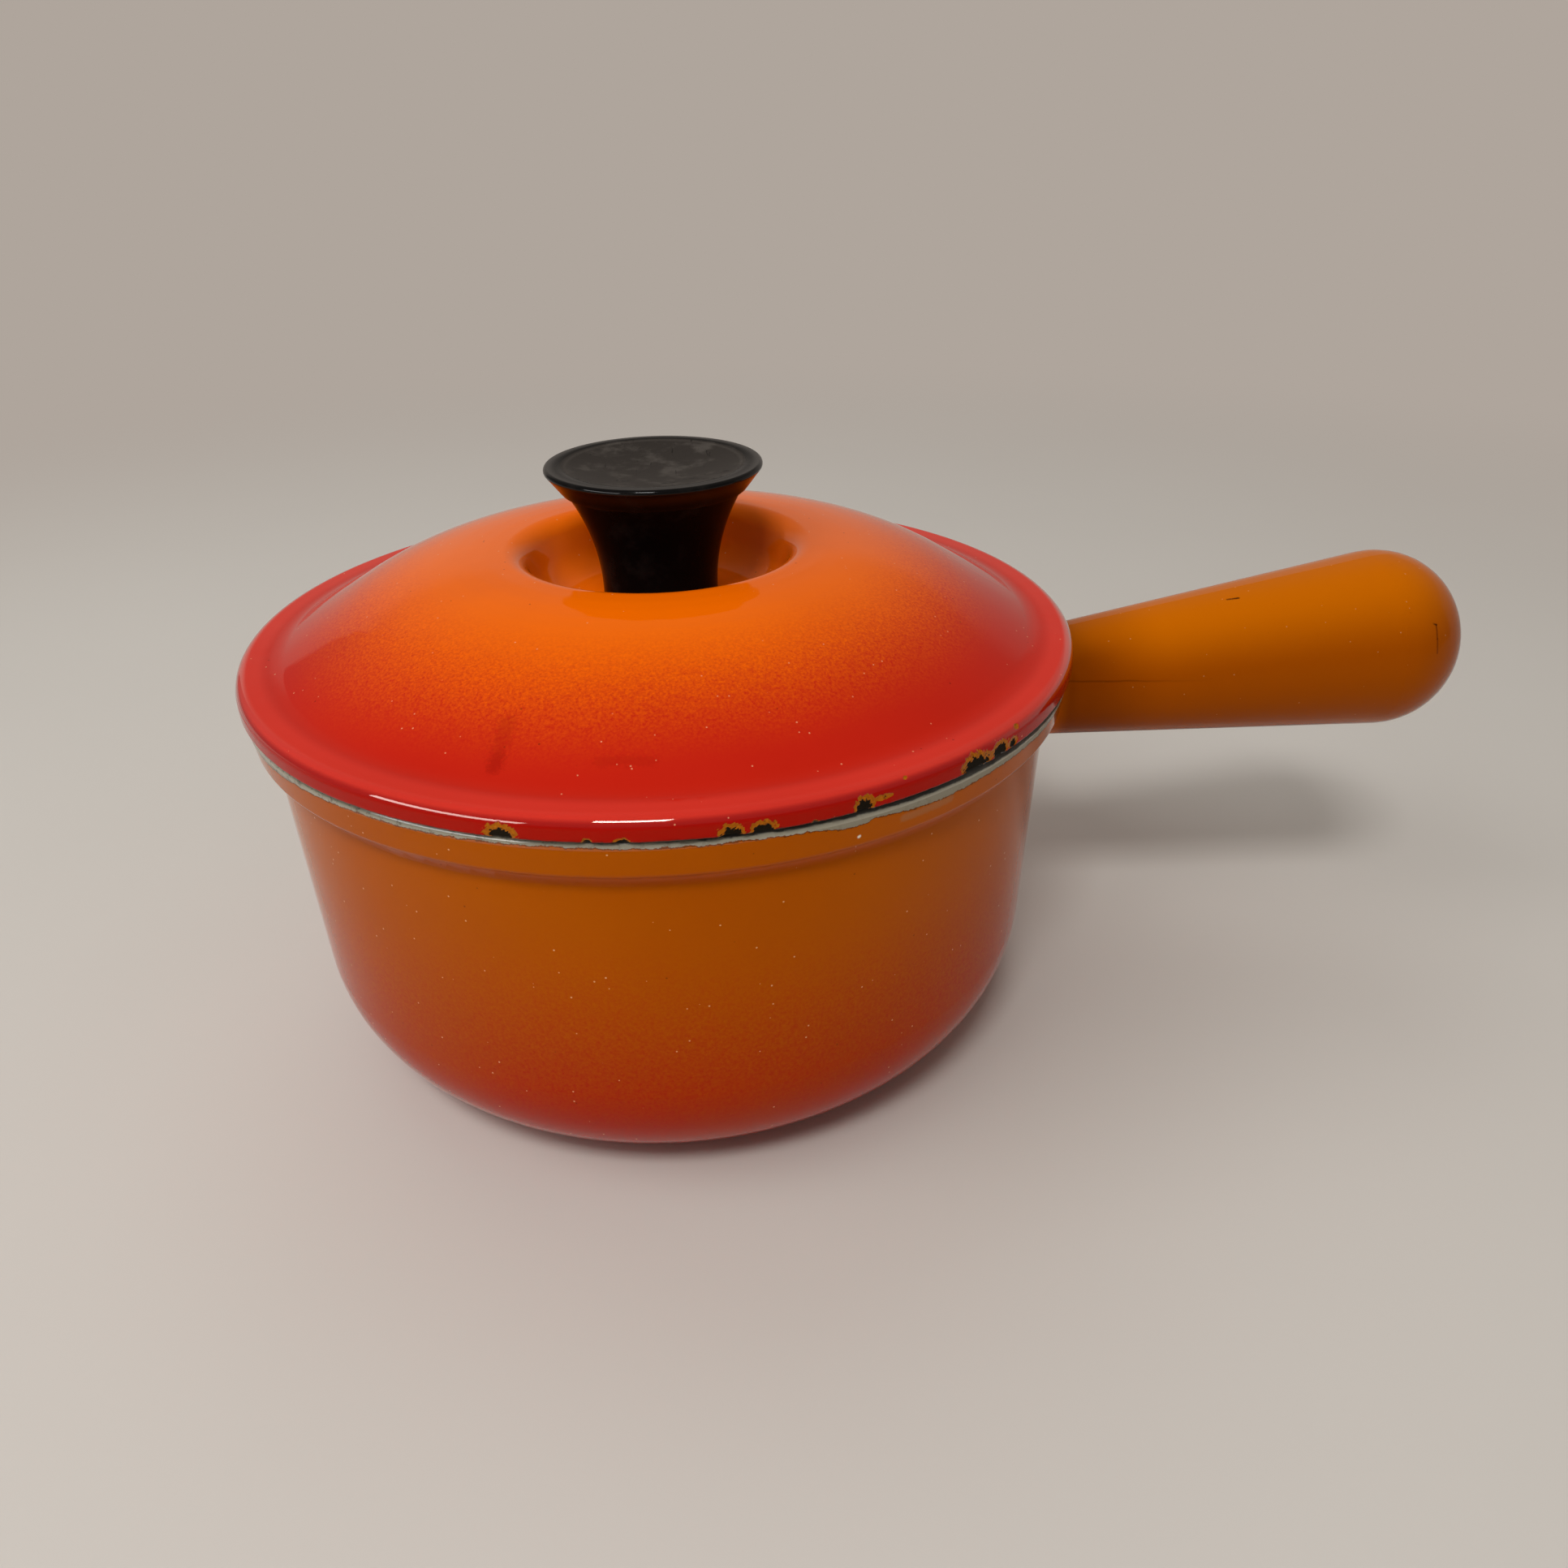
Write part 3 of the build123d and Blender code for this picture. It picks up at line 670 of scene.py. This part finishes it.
# turns a whole section, from axis to axis, into a solid
def lathe(name, outline, columns, sharpAngle):
    spots = turnedSpots(outline[:, :1], outline[:, 1], evenAngles(columns))
    body = bmesh.new()
    rows = [[body.verts.new(spot) for spot in row] for row in (spots * mm).tolist()]
    for lower, upper in zip(rows, rows[1:]):
        for c in range(columns):
            d = (c + 1) % columns
            body.faces.new((lower[c], lower[d], upper[d], upper[c]))
    bmesh.ops.remove_doubles(body, verts=rows[0] + rows[-1], dist=1e-7)
    mesh = bpy.data.meshes.new(name)
    body.to_mesh(mesh)
    body.free()
    smoothShade(mesh, sharpAngle)
    return newPiece(name, mesh)


# a turned tube closed by a flat face at both ends
def closedTube(name, radius, heights, columns):
    rows = len(heights)
    spots = turnedSpots(radius, heights, evenAngles(columns)).reshape(-1, 3)
    faces = []
    for r in range(rows - 1):
        for c in range(columns):
            d = (c + 1) % columns
            faces.append((r * columns + c, r * columns + d, (r + 1) * columns + d, (r + 1) * columns + c))
    faces += [tuple(range(columns))[::-1], tuple(range((rows - 1) * columns, rows * columns))]
    mesh = bpy.data.meshes.new(name)
    mesh.from_pydata((spots * mm).tolist(), [], faces)
    return mesh


# evenly mixed waves, the same on every run
def wobble(values, seed, waves, shortest, longest):
    pick = np.random.default_rng(seed)
    total = np.zeros_like(values)
    for _ in range(waves):
        total = total + np.sin(values * fullTurn / pick.uniform(shortest, longest) + pick.uniform(0, fullTurn))
    return total / waves


lidCoat = {
    "outline": [(93.0, 95.8), (93.8, 95.8, 0.2), (94.0, 95.6, 0.2), (95, 95.6, 0.75), (95, 100.6, 2.6),
                (86.2, 100.6, 8), (54.763, 118.75, 72.9), (31.46, 118.75, 5.6), (25.538, 106.05, 10.4), (3.0, 106.05)],
    "thickness": 0.36, "lipRadius": 95.0, "lipRun": 8.5, "lipSpacing": 0.2, "spacing": 1.0, "arcStep": 3.0,
    # the coat's bead above the grime line, all distances up from the lip's foot
    "lipLine": 2.05, "overlap": 0.06, "beadEdge": 0.25, "beadTop": 6, "beadFade": 4,
    # chips on the lip: azimuth, distance up from its foot, half width, half height, iron share, iron drop
    "chips": [
        (-108.7, 2.3, 3.3, 2.1, 0.6, 0.6), (-99.4, 1.4, 1.1, 1.0, 0.58, 0.15),
        (-95.7, 1.35, 1.8, 1.1, 0.58, 0.15), (-96.9, 0.95, 0.6, 0.5, 0.7, 0.1),
        (-84.3, 2.0, 2.5, 2.0, 0.68, 0.65), (-80.9, 1.9, 2.7, 2.0, 0.66, 0.65),
        (-75.1, 1.4, 0.8, 0.5, 0.6, 0.1), (-69.3, 2.5, 2.3, 2.15, 0.64, 0.55),
        (-67.0, 3.1, 2.2, 0.6, 0.0, 0.0), (-53.3, 2.7, 4.2, 2.4, 0.66, 0.7),
        (-51.2, 2.5, 2.3, 1.5, 0.4, 0.6), (-48.5, 2.8, 3.0, 1.9, 0.66, 0.5),
        (-45.8, 2.6, 1.8, 1.2, 0.55, 0.3), (-44.7, 5.2, 0.75, 0.6, 0.0, 0.0),
        (-63.8, 5.45, 0.4, 0.35, 0.0, 0.0)],
    "chipFoot": 0.65, "ragged": 0.2, "raggedFine": 0.14,
    "coreDrop": 0.3, "coreSize": 1.15, "coreTall": 1.25, "coreRagged": 1.3,
    "amberDepth": 0.13, "amberEdge": 0.1, "ironDepth": 0.32, "ironEdge": 0.2,
    "fineRanges": [(-112, -105.5), (-100.7, -94.3), (-86.8, -78.2), (-76, -74), (-72, -63), (-58, -42.5)],
}


def lidAngles(fine, coarse=0.5, close=0.1):
    angles = set(np.round(np.arange(-180, 180, coarse), 3))
    for low, high in fine:
        angles |= set(np.round(np.arange(low, high, close), 3))
    return np.radians(sorted(angles))


def makeLidCoat(look):
    def spacing(along):
        return look["lipSpacing"] if along < look["lipRun"] else look["spacing"]

    outline = roundedOutline(look["outline"], spacing, look["arcStep"])
    angles = lidAngles(look["fineRanges"])
    up = outlineLengths(outline)[:, None]
    turn = np.degrees(angles)[None, :]
    amber = np.zeros((len(outline), len(angles)))
    iron = np.zeros_like(amber)
    for number, (azimuth, rise, wide, high, share, drop) in enumerate(look["chips"]):
        across = (turn - azimuth) * math.radians(look["lipRadius"])
        ragged = (look["ragged"] * wobble(across + 0.4 * up, number, 5, 0.7, 2.4)
                  + look["raggedFine"] * wobble(up - 0.7 * across, number + 50, 4, 0.5, 1.5))
        above = up - (rise + look["chipFoot"])
        far = np.hypot(across / wide, above / high) + ragged
        amber = np.maximum(amber, np.clip(1 - far, 0, 1))
        if share:
            share = share * look["coreSize"]
            above = above + drop + look["coreDrop"] * min(1.0, high / 2 - 0.3)   # iron lies lower in the larger chips
            far = np.hypot(across / (wide * share), above / (high * share * look["coreTall"]))
            far = far + look["coreRagged"] * ragged
            iron = np.maximum(iron, np.clip(1 - far, 0, 1))
    lipLine = up - look["lipLine"] - 0.3 * wobble(turn, 7, 6, 1.5, 14) - 0.1 * wobble(turn, 8, 6, 0.4, 1.2)
    bead = np.clip(lipLine / look["beadEdge"] + 0.5, 0, 1) * np.clip((look["beadTop"] - up) / look["beadFade"], 0, 1)
    push = look["overlap"] * bead - look["amberDepth"] * np.clip(amber / look["amberEdge"], 0, 1)
    push = push - (look["ironDepth"] - look["amberDepth"]) * np.clip(iron / look["ironEdge"], 0, 1)
    marks = {"amber": amber, "iron": iron, "lipLine": lipLine}
    coat = spinSkin("lidOuterCoat", outline, angles, look["thickness"], push, marks)
    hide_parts("lid_outer_enamel")
    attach(coat, "lid")
    return coat


lidLining = {
    "outline": [(3.0, 101.25), (28.596, 101.25, 15.2), (34.518, 113.95, 0.8), (53.477, 113.95, 68.1),
                (83.948, 96.358, 1.2), (83.948, 91.2, 1.2), (87.748, 91.2, 1.2), (87.748, 95.8), (93.0, 95.8)],
    "thickness": 0.36, "spacing": 1.0, "arcStep": 4.0,
}


def makeLidLining(look):
    outline = roundedOutline(look["outline"], lambda along: look["spacing"], look["arcStep"])
    lining = spinSkin("lidInnerCoat", outline, lidAngles([]), look["thickness"])
    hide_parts("lid_inner_enamel")
    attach(lining, "lid")
    return lining


knobShape = {
    "seat": 106.05, "stem": 13.2, "footRounding": 0.6, "pocket": (5.0, 118.05), "pocketRounding": 0.1,
    "flareStart": 108.5, "neck": 20.0, "flarePoints": 48,
    "rimBottom": 131.65, "rimFoot": 20.804, "rimFootRounding": 0.25, "rimCorner": 25.14, "rimRounding": 0.8,
    "top": 137.2, "dishRadius": 21.4, "dishDepth": 2.9, "dishEdge": 7.0, "dishInset": 2.0, "dishPoints": 40,
    "columns": 360, "spacing": 0.8, "arcStep": 6.0, "sharp": 28,
}


def makeKnob(look):
    seat, stem, top = look["seat"], look["stem"], look["top"]
    rise, out = look["rimBottom"] - look["flareStart"], look["neck"] - stem
    flare = (rise ** 2 + out ** 2) / (2 * out)
    sweep = np.linspace(0, 2 * math.atan2(out, rise), look["flarePoints"])
    flank = [(stem + flare * (1 - math.cos(a)), look["flareStart"] + flare * math.sin(a)) for a in sweep]
    ball = (look["dishRadius"] ** 2 + look["dishDepth"] ** 2) / (2 * look["dishDepth"])
    centre = top - look["dishDepth"] + ball
    across = np.linspace(look["dishRadius"] - look["dishInset"], 0, look["dishPoints"])
    dish = [(r, centre - math.sqrt(ball ** 2 - r ** 2)) for r in across]
    wide, deep = look["pocket"]
    foot = [(0, deep), (wide, deep), (wide, seat, look["pocketRounding"]), (stem, seat, look["footRounding"])]
    rim = [(look["rimFoot"], look["rimBottom"], look["rimFootRounding"]), (look["rimCorner"], top, look["rimRounding"]),
           (look["dishRadius"], top, look["dishEdge"])]
    outline = roundedOutline(foot + flank + rim + dish, lambda along: look["spacing"], look["arcStep"])
    knob = lathe("knobBody", outline, look["columns"], look["sharp"])
    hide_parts("knob")
    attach(knob, "knob")
    return knob


knobScrew = {
    "crest": 2.5, "root": 2.08, "pitch": 0.8, "plain": 1.0,
    "headTop": 99.05, "sunk": 0.2, "tip": 115.05, "tipChamfer": 0.5,
    "head": [(0.0, 96.05), (4.8, 96.05, 1.4), (4.8, 99.05, 0.25), (0.0, 99.05)], "headSpacing": 0.4, "headArcStep": 8.0,
    "slot": (1.2, 1.5), "sawLength": 12, "step": 0.08, "columns": 72, "headColumns": 96, "sharp": 35,
}


def makeKnobScrew(look):
    # threaded shank, plain below the head and chamfered at its tip
    heights = np.arange(look["headTop"] - look["sunk"], look["tip"] + 1e-6, look["step"])
    phase = (heights[:, None] / look["pitch"] - evenAngles(look["columns"])[None, :] / fullTurn) % 1.0
    tooth = np.clip(1.35 - np.abs(phase - 0.5) * 3.6, 0, 1)
    radius = look["root"] + (look["crest"] - look["root"]) * tooth
    plain = np.clip((heights - look["headTop"]) / look["plain"], 0, 1)[:, None]
    radius = radius * plain + look["crest"] * (1 - plain)
    radius = np.minimum(radius, look["crest"] - look["tipChamfer"] + np.clip(look["tip"] - heights, 0, None)[:, None])
    shank = closedTube("shank", radius, heights, look["columns"])
    # turned head with a sawn slot
    outline = roundedOutline(look["head"], lambda along: look["headSpacing"], look["headArcStep"])[1:-1]
    head = closedTube("head", outline[:, :1], outline[:, 1], look["headColumns"])
    wide, deep = look["slot"]
    below = look["head"][0][1]
    square = ((-1, -1), (1, -1), (1, 1), (-1, 1))
    corners = [(x * look["sawLength"] / 2, y * wide / 2, z) for z in (below - 1, below + deep) for x, y in square]
    sides = [(3, 2, 1, 0), (4, 5, 6, 7), (0, 1, 5, 4), (1, 2, 6, 5), (2, 3, 7, 6), (3, 0, 4, 7)]
    saw = bpy.data.meshes.new("saw")
    saw.from_pydata((np.array(corners) * mm).tolist(), [], sides)
    sawn, blade = newPiece("sawnHead", head), newPiece("sawBlade", saw)
    cut = sawn.modifiers.new("slot", "BOOLEAN")
    cut.operation, cut.object, cut.solver = "DIFFERENCE", blade, "EXACT"
    slotted = bpy.data.meshes.new_from_object(sawn.evaluated_get(bpy.context.evaluated_depsgraph_get()))
    bpy.data.objects.remove(sawn)
    bpy.data.objects.remove(blade)
    whole = bmesh.new()
    whole.from_mesh(shank)
    whole.from_mesh(slotted)
    mesh = bpy.data.meshes.new("screw")
    whole.to_mesh(mesh)
    whole.free()
    smoothShade(mesh, look["sharp"])
    screw = newPiece("knobScrew", mesh)
    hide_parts("knob_screw")
    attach(screw, "screw")
    return screw


lidOuter = makeLidCoat(lidCoat)
lidInner = makeLidLining(lidLining)
knob = makeKnob(knobShape)
screw = makeKnobScrew(knobScrew)
faceCounts = [len(piece.data.polygons) for piece in (lidOuter, lidInner, knob, screw)]
print("lid coats, knob and screw built:", faceCounts, "faces")

lidOuter.data.materials.append(lidEnamel)
lidInner.data.materials.append(creamEnamel)
knob.data.materials.append(blackPhenolic)
screw.data.materials.append(steel)
dress("pan_casting", bareIron)
dress("lid_casting", bareIron)
dress("pan_outer_enamel", panEnamel)
dress("pan_inner_enamel", panLiningEnamel)
dress("knob_insert", brass)
dress("plain_washer", steel)
dress("spring_washer", steel)
print("finishes on")

studio = {
    "floorSize": 6.0, "floorColour": paint(220, 215, 207), "floorShade": paint(216, 211, 203), "floorRoughness": 0.6,
    "fadeFrom": 0.34, "fadeTo": 0.9, "backdrop": paint(175, 165, 156),
    # light from all round: paler behind the object, up to a corner on the left, dimmer low down
    "back": paint(146, 138, 130), "backCorner": 0.7, "backTop": 0.3,
    "around": paint(128, 124, 121), "aroundLow": paint(108, 105, 102),
    # lamps: name, azimuth and elevation in degrees, distance, width and height in metres, watts
    "main": ("frontLamp", -104.0, 53.0, 1.7, 0.44, 0.3, 10.4),
    "strip": ("leftStrip", -147.0, 19.0, 1.5, 1.05, 0.3, 8.5),
    "fills": [("backFill", 110.0, 62.0, 1.8, 1.6, 1.2, 4.5), ("leftFill", -152.0, 48.0, 1.6, 1.2, 0.9, 8.2)],
    "aim": (0, 0, 0.08),
}


def makeFloor(look):
    half = look["floorSize"] / 2
    mesh = bpy.data.meshes.new("floor")
    mesh.from_pydata([(-half, -half, 0), (half, -half, 0), (half, half, 0), (-half, half, 0)], [], [(0, 1, 2, 3)])
    floor = newPiece("floor", mesh)
    material, t, shader, where = newMaterial("paleFloor")
    t.feed(t.mix(t.noise(where, 8.0, 3.0), look["floorColour"], look["floorShade"]), shader.inputs["Base Color"])
    shader.inputs["Roughness"].default_value = look["floorRoughness"]
    # far off, the camera and reflections see the backdrop's tone, so no horizon shows
    away = t.add("VectorMath", {"operation": "LENGTH"})
    t.feed(where, away.inputs[0])
    far = t.step(away.outputs["Value"], look["fadeFrom"], look["fadeTo"])
    path = t.add("LightPath").outputs
    seen = t.sum("MAXIMUM", path["Is Camera Ray"], t.sum("MAXIMUM", path["Is Glossy Ray"], path["Is Transmission Ray"]))
    mixer = t.add("MixShader")
    t.feed(t.times(far, seen), mixer.inputs[0])
    t.feed(shader.outputs[0], mixer.inputs[1])
    t.feed(t.add("Emission", Color=look["backdrop"], Strength=1.0).outputs[0], mixer.inputs[2])
    t.feed(mixer.outputs[0], t.tree.nodes["Material Output"].inputs[0])
    mesh.materials.append(material)


def addLamp(aim, name, azimuth, elevation, distance, width, height, power):
    lamp = bpy.data.lights.new(name, "AREA")
    lamp.shape = "RECTANGLE"
    lamp.size, lamp.size_y = width, height
    lamp.energy = power
    a, e = math.radians(azimuth), math.radians(elevation)
    away = Vector((math.cos(a) * math.cos(e), math.sin(a) * math.cos(e), math.sin(e)))
    holder = newPiece(name, lamp)
    holder.location = Vector(aim) + away * distance
    holder.rotation_euler = away.to_track_quat("Z", "Y").to_euler()
    return holder


def makeWorld(look):
    # the camera, and reflections low down behind the object, see one plain tone
    world = bpy.data.worlds.new("paleStudio")
    world.use_nodes = True
    t = Tree(world.node_tree)
    t.tree.nodes.clear()
    x, y, z = t.add("SeparateXYZ", Vector=t.add("TexCoord").outputs["Generated"]).outputs
    corner = t.step(t.timesPlus(y, look["backCorner"], x), -0.01, 0.01)
    behind = t.times(t.step(y, -0.05, 0.1), corner)
    around = t.mix(t.step(z, 0.0, 0.6), look["aroundLow"], look["around"])
    light = t.mix(t.times(behind, t.step(z, 0.97, 0.8)), around, look["back"])
    path = t.add("LightPath").outputs
    low = t.step(z, look["backTop"] + 0.1, look["backTop"])
    mirrored = t.times(path["Is Glossy Ray"], t.times(behind, low))
    mixer = t.add("MixShader")
    seen = t.sum("MAXIMUM", path["Is Camera Ray"], t.sum("MAXIMUM", mirrored, path["Is Transmission Ray"]))
    t.feed(seen, mixer.inputs[0])
    for tone, socket in ((light, mixer.inputs[1]), (look["backdrop"], mixer.inputs[2])):
        t.feed(t.add("Background", Color=tone, Strength=1.0).outputs[0], socket)
    t.feed(mixer.outputs[0], t.add("OutputWorld").inputs[0])
    scene.world = world


cameraSet = {"at": (0.0, -0.28075, 0.20807), "yaw": 5.71, "pitch": 28.73, "roll": -0.87,
             "focal": 1549.01, "image": 1932, "sensor": 36.0, "nearest": 0.01}


def makeCamera(look):
    yaw, pitch, roll = (math.radians(look[k]) for k in ("yaw", "pitch", "roll"))
    ahead = Vector((math.sin(yaw) * math.cos(pitch), math.cos(yaw) * math.cos(pitch), -math.sin(pitch)))
    level = Vector((math.cos(yaw), -math.sin(yaw), 0))
    upright = level.cross(ahead)
    right = level * math.cos(roll) + upright * math.sin(roll)
    up = upright * math.cos(roll) - level * math.sin(roll)
    data = bpy.data.cameras.new("camera")
    data.sensor_width = look["sensor"]
    data.lens = look["sensor"] * look["focal"] / look["image"]
    data.clip_start = look["nearest"]
    camera = newPiece("camera", data)
    turn = Matrix((right, up, -ahead)).transposed().to_4x4()
    camera.matrix_world = Matrix.Translation(look["at"]) @ turn
    scene.camera = camera


makeFloor(studio)
addLamp(studio["aim"], *studio["main"])
addLamp(studio["aim"], *studio["strip"]).visible_diffuse = False   # low strip that only shows in the gloss
for lamp in studio["fills"]:
    addLamp(studio["aim"], *lamp).visible_glossy = False   # soft fills that leave no image of themselves in the gloss
makeWorld(studio)
makeCamera(cameraSet)
print("floor, light and camera ready")
